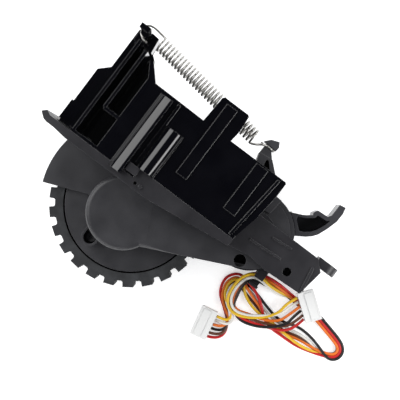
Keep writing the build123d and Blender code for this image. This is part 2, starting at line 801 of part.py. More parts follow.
# Base frame: flange, front plate, hollow end block, saddle for the motor barrel and screw ear
plate_outline = [
    (bar_right - 1, -10.4),
    (4.8, frame_bottom),
    (12.8, -9.6),
    (20.3, -9.2),
    (30.0, frame_bottom),
    (frame_right, 3.2),
    (frame_right - end_bevel, frame_top),
    (-2.0, frame_top),
    (-4.4, 4.6),
    (bar_right, -5.5),
]
block_outline = [
    (block_left, frame_bottom),
    (30.0, frame_bottom),
    (frame_right, 3.2),
    (frame_right - end_bevel, frame_top),
    (block_left, frame_top),
]
strip_outline = [
    (flange_left, flange_top - 0.6),
    (-94.5, -14.1),
    (-92.7, -14.5),
    (-89.7, -14.5),
    (-82.9, flange_bottom),
    (-42.8, flange_bottom),
    (-22.6, -12.7),
    (bar_right, -10.4),
    (bar_right, bar_top),
    (bar_left, bar_top),
    (bar_left, flange_top),
    (opening_left, flange_top),
    (-95.3, -10.4),
]
rear_plate = 2.2
strip_back = 40.0
ring_radius = 9.0
journal_bore = front_journal_radius + pivot_play
saddle_bore = barrel_radius + pivot_play
rear_length = front_journal_length + arm_front + 0.3
switch_left, switch_depth = block_left + block_wall, 6.5
switch_back, switch_front = 28.6, 34.4
plunger_z = 31.0
plunger_radius = 0.9
clip_left, clip_width = 13.8, 4.4
clip_back, clip_front = 2.95, 8.2
clip_lip = -17.9
with BuildPart() as base_frame:
    with BuildSketch(Plane.XY.offset(strip_back)):
        Polygon(*strip_outline, align=None)
    extrude(amount=front_wall_front - strip_back)
    with BuildSketch(Plane.XY):
        Polygon(
            (flange_left, flange_top - 0.6),
            (-94.5, -14.1),
            (opening_left, -14.4),
            (opening_left, flange_top),
            (-95.3, -10.4),
            align=None,
        )
    extrude(amount=strip_back)
    with BuildSketch(Plane.XY):
        span(opening_left - 1, 0, flange_bottom, flange_top)
        Circle(saddle_radius)
        span(0, block_left + 2, frame_bottom, frame_top)
        Polygon(*block_outline, align=None)
    extrude(amount=rear_plate)
    with BuildSketch(Plane.XY):
        Polygon(*block_outline, align=None)
    extrude(amount=plate_front)
    with BuildSketch(Plane.XY.offset(rear_plate)):
        span(switch_left, frame_right - block_wall, frame_bottom + block_wall, frame_top - block_wall)
        Polygon(
            (frame_right - end_bevel - 1.2, frame_top),
            (frame_right - block_wall, 2.4),
            (frame_right, frame_top),
            align=None,
            mode=Mode.SUBTRACT,
        )
    extrude(amount=plate_back - rear_plate, mode=Mode.SUBTRACT)
    with BuildSketch(Plane.XY):
        span(switch_left + 1.4, frame_right - block_wall - 2.4, frame_bottom + 3, frame_top - 3)
    extrude(amount=rear_plate, mode=Mode.SUBTRACT)
    with BuildSketch(Plane.XY.offset(rear_plate)):
        sector(saddle_bore, saddle_radius, saddle_open_to - 360, saddle_open_from)
    extrude(amount=saddle_height - rear_plate)
    with BuildSketch(Plane.XY.offset(plate_back)):
        Polygon(*plate_outline, align=None)
    extrude(amount=plate_front - plate_back)
    with BuildSketch(Plane.XY.offset(plate_back)):
        Circle(ring_radius)
    extrude(amount=-1.7)
    with BuildSketch(Plane.XY.offset(plate_back - 1.7)):
        Circle(journal_bore)
    extrude(amount=rear_length - plate_back + 1.7, mode=Mode.SUBTRACT)
    with BuildSketch(level(ear_bottom)):
        span(frame_right - 3, ear_right - ear_width / 2, ear_z - ear_width / 2, ear_z + ear_width / 2)
        with Locations((ear_right - ear_width / 2, ear_z)):
            Circle(ear_width / 2)
    extrude(amount=ear_bottom - ear_top)
    with BuildSketch(level(ear_bottom)):
        with Locations((ear_right - ear_width / 2, ear_z)):
            Circle(ear_hole_radius)
    extrude(amount=ear_bottom - ear_top, mode=Mode.SUBTRACT)
    with BuildSketch(Plane.XY.offset(plate_back)):
        with Locations((frame_hole_x, frame_hole_y)):
            Circle(frame_hole_radius)
    extrude(amount=plate_front - plate_back, mode=Mode.SUBTRACT)
    with BuildSketch(Plane.YZ.offset(block_left)):
        with Locations((0, plunger_z)):
            Circle(plunger_radius + 0.3)
    extrude(amount=block_wall, mode=Mode.SUBTRACT)
    with BuildSketch(Plane.XY.offset(front_wall_front)):
        with Locations((-47.4, -12.8)):
            Circle(0.8)
    extrude(amount=1.0)
    with BuildSketch(Plane.XY.offset(front_wall_front)):
        with Locations((-49.9, -12.8)):
            Circle(0.7)
    extrude(amount=-2.0, mode=Mode.SUBTRACT)
    with BuildSketch(Plane.XY.offset(plate_front)):
        with Locations((8.0, -2.6)):
            Rectangle(15.0, 0.9, rotation=4)
        with Locations((12.0, 3.4)):
            Rectangle(9.0, 0.8, rotation=6)
    extrude(amount=0.5)
    with BuildSketch(Plane.XY.offset(plate_front)):
        with Locations((29.0, -2.2)):
            Rectangle(1.2, 10.5, rotation=10)
    extrude(amount=0.6)
    with BuildSketch(Plane.YZ.offset(clip_left)):
        Polygon(
            (frame_bottom + 1, clip_back),
            (clip_lip - 1.2, clip_back),
            (clip_lip - 1.2, clip_front + 0.8),
            (clip_lip, clip_front + 0.8),
            (clip_lip, clip_back + 1.2),
            (frame_bottom + 1, clip_back + 1.2),
            align=None,
        )
        span(clip_lip + 3.0, frame_bottom + 1, clip_front, clip_front + 1.4)
        span(frame_bottom, frame_bottom + 1, clip_back, clip_front + 1.4)
    extrude(amount=clip_width)
    with BuildSketch(Plane.XY.offset(front_wall_front)):
        span(column_x + 0.5, screw_boss_x - 2.2, bar_top - 3.5, bar_top)
    extrude(amount=2.4)
    with BuildSketch(level(bar_top)):
        with Locations((screw_boss_x, housing_screw_z)):
            Circle(1.25)
    extrude(amount=3.8, mode=Mode.SUBTRACT)
finish(base_frame.part, "base_frame")

# Housing: the glossy wheel well with its front wall, tongue, quarter-round column and spring tower
wall = 2.0
pad_height = 0.8
well_foot = -10.3
front_outline = [
    (tower_right, flange_top),
    (bar_left, flange_top),
    (bar_left, bar_top),
    (bar_right, bar_top),
    (bar_right, -5.5),
    (-2.7, 6.4),
    (housing_right, 16.5),
    (housing_right, housing_top - 0.6),
    (housing_right - 0.6, housing_top),
    (tongue_right, housing_top),
    (tongue_right + 0.6, 28.9),
    (tongue_right, 35.4),
    (tongue_right - 0.8, tongue_top),
    (tongue_left + 0.8, tongue_top),
    (tongue_left, 35.2),
    (tongue_left - 0.7, housing_top),
    (-67.2, 23.8),
    (tower_right, 26.8),
]
tower_outline = [
    (tower_left, flange_top),
    (tower_left, tower_step_low),
    (tower_step_left, tower_step_high),
    (tower_step_left, 39.0),
    (-86.6, 40.6),
    (-78.2, 39.9),
    (-77.4, 34.1),
    (-73.1, 30.4),
    (-69.6, 26.5),
    (tower_right, 25.0),
    (tower_right, flange_top),
]
with BuildPart() as housing:
    with BuildSketch(Plane.XY.offset(front_wall_back)):
        Polygon(*front_outline, align=None)
    extrude(amount=wall)
    with BuildSketch(Plane.XY.offset(front_wall_back - 3)):
        span(-66.0, tongue_left - 3, housing_top - wall, housing_top)
        span(tongue_right + 3, housing_right - 2.4, housing_top - wall, housing_top)
        Polygon(
            (-4.0, 6.4),
            (-2.7, 6.4),
            (housing_right, 16.5),
            (housing_right, housing_top - 2),
            (housing_right - 1.8, housing_top - 2),
            (housing_right - 1.8, 16.5),
            align=None,
        )
    extrude(amount=3.5)
    with BuildSketch(level(-6.8)):
        with Locations((column_x, column_z)):
            Circle(column_radius)
            Circle(column_radius - wall, mode=Mode.SUBTRACT)
        span(column_x - 10, column_x + 10, 30, front_wall_back - 1, mode=Mode.SUBTRACT)
        span(column_x, column_x + 10, 30, front_wall_front + 10, mode=Mode.SUBTRACT)
    extrude(amount=-28.8)
    with BuildSketch(level(-6.8)):
        with Locations((column_x, column_z)):
            Circle(column_radius)
        span(column_x - 10, column_x + 10, 30, front_wall_front, mode=Mode.SUBTRACT)
        span(column_x, column_x + 10, 30, front_wall_front + 10, mode=Mode.SUBTRACT)
    extrude(amount=-6.8 - column_foot)
    with BuildSketch(level(-6.8)):
        with Locations((column_x, column_z)):
            Circle(column_radius - wall)
        span(column_x - 10, column_x + 10, 30, front_wall_back - 1, mode=Mode.SUBTRACT)
        span(column_x - wall, column_x + 10, 30, front_wall_front + 10, mode=Mode.SUBTRACT)
    extrude(amount=-28.8 + wall, mode=Mode.SUBTRACT)
    with BuildSketch(level(bar_top)):
        with Locations((screw_boss_x, screw_boss_z)):
            Circle(screw_boss_radius)
    extrude(amount=bar_top - screw_boss_top)
    with BuildSketch(level(bar_top)):
        with Locations((screw_boss_x, housing_screw_z)):
            Circle(1.65)
    extrude(amount=bar_top - screw_boss_top, mode=Mode.SUBTRACT)
    with BuildSketch(level(screw_seat)):
        with Locations((screw_boss_x, housing_screw_z)):
            Circle(2.4)
    extrude(amount=screw_seat - screw_boss_top, mode=Mode.SUBTRACT)
    with BuildSketch(Plane.XY.offset(front_wall_front)):
        span(-39.5, -34.5, 0.5, tongue_top - 1.6)
        span(-16.0, -10.5, 0.5, housing_top - 0.8)
        span(-54.9, -53.7, -6, 22.6)
        Polygon((-8.2, -6.4), (-7.0, -6.4), (-4.2, 22.4), (-5.4, 22.4), align=None)
    extrude(amount=pad_height)
    with BuildSketch(Plane.XY.offset(tower_back)):
        Polygon(*tower_outline, align=None)
        span(well_left, tower_left + 0.5, well_foot, fin_top)
    extrude(amount=tower_skin)
    with BuildSketch(Plane.XY.offset(tower_back)):
        span(tower_right - 0.1, tower_right + 0.8, flange_top, 25.6)
        span(-83.0, -83.0 + rib_thickness, -10.6, 34)
        span(-78.6, -78.6 + rib_thickness, 4, 32)
        span(-78.0, tower_right, 3.2, 3.2 + rib_thickness)
        Polygon((-84.5, -10.2), (-83, -11.4), (tower_right, flange_top), (tower_right, -10.1), align=None)
        Polygon((tower_right, 23.6), (-67.2, 23.8), (-69.6, 26.5), (-73.1, 30.4), (-74.4, 29.4), align=None)
    extrude(amount=front_wall_front - tower_back)
    with BuildSketch(Plane.XY.offset(tower_back)):
        Polygon((-86.6, 33.4), (-86.6, 40.6), (-78.2, 39.9), (-77.4, 33.4), align=None)
    extrude(amount=38.6 - tower_back)
    with BuildSketch(Plane.XY.offset(tower_back)):
        with Locations((peg_x, peg_y)):
            Circle(peg_radius)
    extrude(amount=46.0 - tower_back)
    with BuildSketch(Plane.XY.offset(44.2)):
        span(-86.4, -81.8, 38.2, 40.4)
    extrude(amount=3.6)
    with BuildSketch(Plane.XY):
        span(well_left, well_left + 1.5, well_foot, fin_top)
        span(tower_left, tower_left + end_wall, fin_top - 1, tower_step_low)
    extrude(amount=tower_back + 1)
    with BuildSketch(Plane.XY):
        span(well_left, -2.0, well_foot, fin_top)
        span(tower_left, -2.0, fin_top - 1, tower_step_low)
        span(tower_step_left, -2.0, tower_step_low - 1, housing_top)
        span(opening_left, -2.0, flange_top, fin_top)
        Circle(saddle_radius + 0.2, mode=Mode.SUBTRACT)
    extrude(amount=outer_wall)
    with BuildSketch(Plane.XY):
        span(-60, -20, flange_top, -8)
    extrude(amount=outer_wall, mode=Mode.SUBTRACT)
finish(housing.part, "housing")

# Curved guide bracket: an open channel that springs from the saddle behind the arm's round end
bracket_back, bracket_front = 18.0, 30.4
bracket_floor = 2.0
bracket_inner = cam_high + 0.55
bracket_root = saddle_radius + 0.02
with BuildPart() as guide_bracket:
    with BuildSketch(Plane.XY.offset(bracket_back)):
        Polygon(
            polar(bracket_inner - 0.6, 66),
            (8.6, 16.4),
            (11.3, 17.6),
            (13.8, 18.8),
            (16.3, 20.8),
            (15.8, 21.8),
            (16.8, 23.6),
            (21.6, 23.9),
            (22.6, 25.4),
            (22.7, 28.6),
            (22.7, 31.0),
            (25.4, 31.4),
            (26.0, 28.6),
            (25.9, 24.6),
            (24.6, 20.0),
            (22.9, 15.7),
            (21.2, 13.4),
            (19.1, 11.6),
            polar(bracket_inner - 0.6, 31),
            align=None,
        )
        Circle(bracket_inner, mode=Mode.SUBTRACT)
    extrude(amount=bracket_front - bracket_back)
    with BuildSketch(Plane.XY.offset(bracket_back + bracket_floor)):
        Polygon(
            (11.6, 15.4),
            (11.6, 16.5),
            (14.6, 17.9),
            (17.6, 20.3),
            (18.0, 21.9),
            (22.4, 22.2),
            (23.5, 23.4),
            (23.0, 20.6),
            (21.4, 16.9),
            (19.9, 14.8),
            (17.4, 12.8),
            (15.6, 12.0),
            align=None,
        )
    extrude(amount=bracket_front - bracket_back, mode=Mode.SUBTRACT)
    with BuildSketch(Plane.XY.offset(saddle_height - 5)):
        sector(bracket_root, bracket_root + 1.8, 33, 62)
    extrude(amount=bracket_back + 0.5 - saddle_height + 5)
finish(guide_bracket.part, "guide_bracket")

# Wheel-drop switch in the end block, and the plunger that the cam pushes in
switch_bottom = frame_bottom + block_wall
switch_top = frame_top - block_wall
plunger_rest = 0.15
plunger_seat = 3.4
with BuildPart() as switch_body:
    with BuildSketch(Plane.XY.offset(switch_back)):
        span(switch_left, switch_left + switch_depth, switch_bottom, switch_top)
    extrude(amount=switch_front - switch_back)
    with BuildSketch(Plane.YZ.offset(switch_left)):
        with Locations((0, plunger_z)):
            Circle(plunger_radius + 0.1)
    extrude(amount=plunger_seat, mode=Mode.SUBTRACT)
    with BuildSketch(Plane.YZ.offset(switch_left + switch_depth)):
        with Locations((-4.5, 31.5), (-0.7, 31.5), (3.1, 31.5)):
            Rectangle(1.2, 3.0)
    extrude(amount=3.2)
finish(switch_body.part, "switch_body")

with BuildPart() as switch_plunger:
    with BuildSketch(Plane.YZ.offset(cam_low + plunger_rest)):
        with Locations((0, plunger_z)):
            Circle(plunger_radius)
    extrude(amount=switch_left + plunger_seat - 1.3 - cam_low - plunger_rest)
    fillet(faces().sort_by(Axis.X)[0].edges(), 0.6)
finish(switch_plunger.part, "switch_plunger")

# Screws of the housing: one down the upright boss
with BuildPart() as housing_screws:
    with BuildSketch(level(screw_seat)):
        with Locations((screw_boss_x, housing_screw_z)):
            Circle(2.2)
    extrude(amount=-1.8)
    with BuildSketch(level(screw_seat)):
        with Locations((screw_boss_x, housing_screw_z)):
            Circle(1.2)
    extrude(amount=9.4)
    with BuildSketch(level(screw_seat + 1.8)):
        with Locations((screw_boss_x, housing_screw_z)):
            Rectangle(2.8, 0.6)
            Rectangle(0.6, 2.8)
    extrude(amount=0.9, mode=Mode.SUBTRACT)
finish(housing_screws.part, "housing_screws")

# Extension spring: the coil as a ridged sleeve, with a wire loop at each end
coil_length = math.hypot(coil_end_x - coil_start_x, coil_end_y - coil_start_y)
coil_turn = math.atan2(coil_end_y - coil_start_y, coil_end_x - coil_start_x)
coil_count = round(coil_length / coil_pitch)
along = Vector(math.cos(coil_turn), math.sin(coil_turn), 0)
aside = Vector(-math.sin(coil_turn), math.cos(coil_turn), 0)
coil_origin = Vector(coil_start_x, coil_start_y, spring_z)


def coil_point(distance, radius):
    return coil_origin + along * distance + aside * radius


with BuildPart() as spring:
    with BuildSketch(Plane(origin=coil_origin, x_dir=along, z_dir=(0, 0, 1))):
        ridge = [(0, coil_radius - spring_wire)]
        for turn in range(coil_count):
            start = turn * coil_length / coil_count
            ridge.append((start + 0.15, coil_radius - 0.5))
            ridge.append((start + 0.5 * coil_pitch, coil_radius))
            ridge.append((start + coil_pitch - 0.15, coil_radius - 0.5))
        ridge.append((coil_length, coil_radius - spring_wire))
        Polygon(*ridge, align=None)
    revolve(axis=Axis(coil_origin, along))
    with BuildLine() as upper_loop:
        Spline(
            coil_point(0.6, coil_radius - spring_wire / 2),
            (-78.2, 41.6, spring_z),
            (-82.6, 42.5, spring_z),
            (-85.6, 40.9, spring_z),
            (-85.95, 38.0, spring_z),
            (-84.0, 35.6, spring_z + 0.2),
            (-80.8, 35.2, spring_z + 0.4),
        )
    with BuildSketch(Plane(origin=upper_loop.line @ 0, z_dir=upper_loop.line % 0)):
        Circle(spring_wire / 2)
    sweep(path=upper_loop.line)
    with BuildLine() as lower_loop:
        Spline(
            coil_point(coil_length - 0.6, spring_wire / 2 - coil_radius),
            (-23.4, 29.6, spring_z),
            (-20.0, 30.4, spring_z + 0.6),
            (-17.9, 31.0, spring_z + 2.4),
            (-15.4, 31.0, spring_z + 2.8),
            (-13.3, 31.0, spring_z + 1.5),
            (-13.1, 31.0, spring_z - 1.4),
            (-14.6, 31.0, spring_z - 3.5),
            (-17.9, 31.0, spring_z - 3.3),
            (-19.2, 31.1, spring_z - 1.2),
        )
    with BuildSketch(Plane(origin=lower_loop.line @ 0, z_dir=lower_loop.line % 0)):
        Circle(spring_wire / 2)
    sweep(path=lower_loop.line)
finish(spring.part, "spring")

# Lead: six wires from one connector to the other, held under the end block by the frame's cable clip
connector_length, connector_depth, connector_height = 13.6, 7.4, 5.8
connector_pitch = 2.0
wire_gap = 0.3
route_start = (12.9, -44.3, 3.0)
route = [
    (23.2, -42.2, 1.4),
    (27.4, -37.4, 0.75),
    (25.2, -28.6, 0.75),
    (16.8, -28.8, 0.75),
    (8.2, -30.8, 0.75),
    (3.8, -25.6, 0.75),
    (4.9, -19.7, 0.75),
    (10.1, -16.8, 0.75),
    (18.9, -19.9, 0.75),
    (31.5, -25.4, 0.75),
    (46.0, -24.6, 0.75),
    (61.6, -27.6, 0.75),
    (66.4, -21.8, 0.75),
    (64.0, -15.0, 0.75),
    (53.0, -13.1, 0.75),
    (41.0, -12.2, 0.75),
    (30.0, -12.8, 0.75),
    (21.6, -13.8, 5.0),
    (13.8, -14.2, 5.2),
    (9.6, -20.8, 4.6),
    (13.4, -28.4, 3.8),
    (22.0, -32.4, 3.8),
    (32.0, -29.6, 3.9),
    (35.0, -20.8, 4.6),
]
route_end = (39.2, -14.2, 6.2)
heading_start = (0.98, 0.2)
heading_end = (0.59, 0.81)
wire_step = wire_diameter + 0.15
wire_names = ["yellow", "white", "orange", "black", "brown", "red"]


def turn_angle(before, corner, after):
    """The angle in radians by which a route turns at a corner."""
    inward = Vector(*corner) - Vector(*before)
    outward = Vector(*after) - Vector(*corner)
    return math.radians(inward.get_angle(outward))


def wire_points(index):
    """The corners of one wire: beside the route in two layers, and spread out at the connectors."""
    aside = (1 - index // 2) * wire_step
    lift = ((index + 1) % 2) * wire_step
    spread = (2.5 - index) * connector_pitch
    corners = []
    ring = [route_start] + route + [route_end]
    for before, corner, after in zip(ring, ring[1:], ring[2:]):
        inward = math.atan2(corner[1] - before[1], corner[0] - before[0])
        outward = math.atan2(after[1] - corner[1], after[0] - corner[0])
        bend = (outward - inward + math.pi) % (2 * math.pi) - math.pi
        middle = inward + bend / 2 + math.pi / 2
        reach = aside / math.cos(bend / 2)
        shift_x, shift_y = reach * math.cos(middle), reach * math.sin(middle)
        corners.append((corner[0] + shift_x, corner[1] + shift_y, corner[2] + lift))
    start = (
        route_start[0] - spread * heading_start[1],
        route_start[1] + spread * heading_start[0],
        route_start[2] + lift - wire_step / 2,
    )
    end = (
        route_end[0] - spread * heading_end[1],
        route_end[1] + spread * heading_end[0],
        route_end[2] + lift - wire_step / 2,
    )
    return [start] + corners + [end]


for index, name in enumerate(wire_names):
    corners = wire_points(index)
    radii = []
    for before, corner, after in zip(corners, corners[1:], corners[2:]):
        shorter = min(math.dist(before, corner), math.dist(corner, after))
        radii.append(min(30.0, 0.45 * shorter / math.tan(turn_angle(before, corner, after) / 2)))
    with BuildPart() as wire:
        with BuildLine() as wire_line:
            FilletPolyline(*corners, radius=radii)
        with BuildSketch(Plane(origin=wire_line.line @ 0, z_dir=wire_line.line % 0)):
            Circle(wire_diameter / 2)
        sweep(path=wire_line.line)
    finish(wire.part, f"wire_{name}")

# Connectors at the lead's ends
for name, point, heading in (
    ("connector_a", route_start, (-heading_start[0], -heading_start[1])),
    ("connector_b", route_end, heading_end),
):
    away = (heading[0], heading[1], 0)
    face = Plane(origin=point, x_dir=(heading[1], -heading[0], 0), z_dir=away).offset(wire_gap)
    with BuildPart() as connector:
        with BuildSketch(face):
            Rectangle(connector_length, connector_height - 1.0)
        extrude(amount=connector_depth)
        with BuildSketch(face.offset(connector_depth - 4.6)):
            Rectangle(connector_length - 1.6, connector_height - 0.2)
        extrude(amount=3.4)
        with BuildSketch(face):
            with GridLocations(connector_pitch, 1, 6, 1):
                Rectangle(1.5, 1.7)
        extrude(amount=2.2, mode=Mode.SUBTRACT)
        with BuildSketch(face.offset(connector_depth)):
            with GridLocations(connector_pitch, 1, 6, 1):
                Rectangle(1.0, 1.8)
        extrude(amount=-3.0, mode=Mode.SUBTRACT)
    finish(connector.part, name)
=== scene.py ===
"""Looks of the robot vacuum wheel module: finishes, the lead's wires, the wound spring and the studio.

The part's own frame is in metres: +X along the flange, +Y up in the robot, and +Z along the wheel's axis
towards the camera. The module lies on its outer side, on the floor at z = 0. Wires and spring are laid
out in millimetres in that frame, and mm turns them into metres.
"""

import json
import math

import bpy
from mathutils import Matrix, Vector


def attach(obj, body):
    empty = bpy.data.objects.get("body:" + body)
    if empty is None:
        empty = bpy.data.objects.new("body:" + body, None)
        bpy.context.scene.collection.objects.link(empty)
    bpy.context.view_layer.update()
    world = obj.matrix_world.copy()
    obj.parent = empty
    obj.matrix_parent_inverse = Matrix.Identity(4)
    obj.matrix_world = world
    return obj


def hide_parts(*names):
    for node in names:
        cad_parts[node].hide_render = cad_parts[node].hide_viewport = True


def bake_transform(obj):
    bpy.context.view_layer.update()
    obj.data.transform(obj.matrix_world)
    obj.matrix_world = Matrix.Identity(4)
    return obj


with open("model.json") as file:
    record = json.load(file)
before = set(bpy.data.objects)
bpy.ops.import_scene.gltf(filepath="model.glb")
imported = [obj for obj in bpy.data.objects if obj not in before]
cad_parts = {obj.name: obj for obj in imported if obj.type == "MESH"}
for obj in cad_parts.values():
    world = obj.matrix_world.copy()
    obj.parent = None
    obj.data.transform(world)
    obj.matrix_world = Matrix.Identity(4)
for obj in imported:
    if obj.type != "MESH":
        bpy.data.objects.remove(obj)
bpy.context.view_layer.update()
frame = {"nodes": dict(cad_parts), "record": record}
nodes = frame["nodes"]
mm = 0.001


# Shader helpers


def new_material(name):
    """A material with an empty node tree but for its output and a Principled shader."""
    material = bpy.data.materials.new(name)
    material.use_nodes = True
    tree = material.node_tree
    tree.nodes.clear()
    output = tree.nodes.new("ShaderNodeOutputMaterial")
    shader = tree.nodes.new("ShaderNodeBsdfPrincipled")
    tree.links.new(shader.outputs["BSDF"], output.inputs["Surface"])
    return material, tree, shader


def noise(tree, scale, detail=3.0, roughness=0.5, stretch=(1, 1, 1)):
    """A noise texture in object space, and so fixed to the piece. Its scale is in cycles per metre."""
    coordinates = tree.nodes.new("ShaderNodeTexCoord")
    mapping = tree.nodes.new("ShaderNodeMapping")
    mapping.inputs["Scale"].default_value = stretch
    texture = tree.nodes.new("ShaderNodeTexNoise")
    texture.inputs["Scale"].default_value = scale
    texture.inputs["Detail"].default_value = detail
    texture.inputs["Roughness"].default_value = roughness
    tree.links.new(coordinates.outputs["Object"], mapping.inputs["Vector"])
    tree.links.new(mapping.outputs["Vector"], texture.inputs["Vector"])
    return texture.outputs["Fac"]


def spread(tree, value, low, high, start=0.3, end=0.7):
    """The value mapped from start..end to low..high."""
    ramp = tree.nodes.new("ShaderNodeMapRange")
    ramp.inputs["From Min"].default_value = start
    ramp.inputs["From Max"].default_value = end
    ramp.inputs["To Min"].default_value = low
    ramp.inputs["To Max"].default_value = high
    tree.links.new(value, ramp.inputs["Value"])
    return ramp.outputs["Result"]


def blend_colours(tree, share, first, second):
    """The first colour where the share is 0, running into the second where it is 1."""
    mix = tree.nodes.new("ShaderNodeMix")
    mix.data_type = "RGBA"
    mix.inputs["A"].default_value = (*first, 1)
    mix.inputs["B"].default_value = (*second, 1)
    tree.links.new(share, mix.inputs["Factor"])
    return mix.outputs["Result"]


def link_surface(tree, shader, colour, roughness):
    """The two links that every finish makes."""
    tree.links.new(colour, shader.inputs["Base Color"])
    tree.links.new(roughness, shader.inputs["Roughness"])


def relief(tree, shader, height, distance, strength, rounding=0.0):
    """Surface relief from a height, over edges rounded in shading only."""
    bump = tree.nodes.new("ShaderNodeBump")
    bump.inputs["Distance"].default_value = distance
    bump.inputs["Strength"].default_value = strength
    tree.links.new(height, bump.inputs["Height"])
    if rounding:
        bevel = tree.nodes.new("ShaderNodeBevel")
        bevel.samples = 6
        bevel.inputs["Radius"].default_value = rounding
        tree.links.new(bevel.outputs["Normal"], bump.inputs["Normal"])
    tree.links.new(bump.outputs["Normal"], shader.inputs["Normal"])


def moulded(name, colour, roughness, grain=0.25, rounding=0.25, specular=0.5, worn=1.35):
    """Moulded plastic: a fine grain, slight patches of gloss, and a trace of colour variation.

    Rounding is the radius that the edges seem to have, in millimetres, and worn says how much lighter
    the palest patches are.
    """
    material, tree, shader = new_material(name)
    grain_depth = grain * mm * 0.12
    patches = noise(tree, scale=90, detail=4)
    fine = noise(tree, scale=2600, detail=2)
    lighter = tuple(min(1.0, channel * worn + 0.001) for channel in colour)
    tint = blend_colours(tree, spread(tree, patches, 0, 1), colour, lighter)
    gloss = spread(tree, patches, low=roughness * 0.86, high=roughness * 1.14)
    link_surface(tree, shader, tint, gloss)
    shader.inputs["Specular IOR Level"].default_value = specular
    relief(tree, shader, fine, grain_depth, strength=0.6, rounding=rounding * mm)
    return material


def metal(name, colour, roughness, stretch=(1, 1, 1), scale=900):
    """Bare metal with fine marks along one direction."""
    material, tree, shader = new_material(name)
    mark_depth = 0.01 * mm
    edge_radius = 0.15 * mm
    marks = noise(tree, scale, detail=3, roughness=0.6, stretch=stretch)
    darker = tuple(channel * 0.8 for channel in colour)
    tint = blend_colours(tree, spread(tree, marks, 0, 1), darker, colour)
    gloss = spread(tree, marks, low=roughness * 0.8, high=roughness * 1.25)
    link_surface(tree, shader, tint, gloss)
    shader.inputs["Metallic"].default_value = 1.0
    relief(tree, shader, marks, mark_depth, strength=0.5, rounding=edge_radius)
    return material


def rubber(name, colour):
    """Tyre rubber: matt, with a dusty bloom in patches and a coarse skin."""
    material, tree, shader = new_material(name)
    skin_depth = 0.05 * mm
    edge_radius = 0.3 * mm
    bloom = noise(tree, scale=140, detail=5, roughness=0.6)
    skin = noise(tree, scale=1500, detail=3)
    dusty = tuple(channel * 1.9 + 0.006 for channel in colour)
    tint = blend_colours(tree, spread(tree, bloom, 0, 1, start=0.42, end=0.75), colour, dusty)
    gloss = spread(tree, bloom, low=0.62, high=0.8)
    link_surface(tree, shader, tint, gloss)
    shader.inputs["Specular IOR Level"].default_value = 0.4
    relief(tree, shader, skin, skin_depth, strength=0.7, rounding=edge_radius)
    return material


def sheath(name, colour):
    """A wire's soft sheath: satin, with slow changes of gloss along it."""
    material, tree, shader = new_material(name)
    wave_depth = 0.02 * mm
    patches = noise(tree, scale=260, detail=3)
    darker = tuple(channel * 0.86 for channel in colour)
    tint = blend_colours(tree, spread(tree, patches, 0, 1), darker, colour)
    gloss = spread(tree, patches, low=0.32, high=0.46)
    link_surface(tree, shader, tint, gloss)
    shader.inputs["Specular IOR Level"].default_value = 0.45
    relief(tree, shader, patches, wave_depth, strength=0.4)
    return material


# Finishes by slot. After colour and roughness, a moulding gives its grain, rounding and specular level
# where they aren't the usual ones, and a metal the stretch of its marks.

finishes = {
    "frame_black": moulded("frame_black", (0.017, 0.0165, 0.019), 0.34, 0.2, 0.35),
    "bracket_black": moulded("bracket_black", (0.034, 0.034, 0.038), 0.28, 0.15, 0.4),
    "housing_gloss": moulded("housing_gloss", (0.001, 0.001, 0.002), 0.07, 0.04, 0.35, 0.7),
    "casing_black": moulded("casing_black", (0.024, 0.0238, 0.027), 0.42, 0.4, 0.4),
    "cap_grey": moulded("cap_grey", (0.05, 0.05, 0.055), 0.45),
    "tyre_rubber": rubber("tyre_rubber", (0.02, 0.021, 0.023)),
    "rim_grey": moulded("rim_grey", (0.03, 0.03, 0.033), 0.4, 0.3, 0.3),
    "screw_steel": metal("screw_steel", (0.16, 0.16, 0.165), 0.34),
    "steel": metal("steel", (0.6, 0.6, 0.61), 0.25, (1, 1, 6)),
    "motor_steel": metal("motor_steel", (0.62, 0.62, 0.62), 0.3, (1, 1, 5)),
    "spring_steel": metal("spring_steel", (0.46, 0.45, 0.43), 0.3, scale=1500),
    "brass": metal("brass", (0.7, 0.52, 0.22), 0.25),
    "gear_white": moulded("gear_white", (0.72, 0.71, 0.66), 0.4, 0.1, 0.1, worn=1.05),
    "magnet": moulded("magnet", (0.05, 0.05, 0.055), 0.5, 0.2, 0.1),
    "board_green": moulded("board_green", (0.015, 0.12, 0.045), 0.35, 0.1, 0.05),
    "switch_black": moulded("switch_black", (0.012, 0.012, 0.012), 0.4),
    "plunger_white": moulded("plunger_white", (0.7, 0.69, 0.64), 0.4, 0.1, 0.1, worn=1.05),
    "connector_white": moulded("connector_white", (0.76, 0.76, 0.75), 0.38, 0.1, 0.2, worn=1.03),
    "wire_yellow": sheath("wire_yellow", (0.8, 0.5, 0.02)),
    "wire_white": sheath("wire_white", (0.78, 0.77, 0.73)),
    "wire_orange": sheath("wire_orange", (0.78, 0.17, 0.015)),
    "wire_black": sheath("wire_black", (0.012, 0.012, 0.013)),
    "wire_brown": sheath("wire_brown", (0.11, 0.035, 0.015)),
    "wire_red": sheath("wire_red", (0.55, 0.012, 0.012)),
}
slots = {part["node"]: part["material_slot"] for part in frame["record"]["subparts"]}
for node, piece in nodes.items():
    piece.data.materials.clear()
    piece.data.materials.append(finishes[slots[node]])


# Wires of the lead, from one connector to the other

wire_diameter = 1.3
row_step = wire_diameter + 0.15
connector_pitch = 2.0
start_point, start_heading = (12.9, -44.3, 3.0), (0.98, 0.2)
end_point, end_heading = (39.2, -14.2, 6.2), (0.59, 0.81)

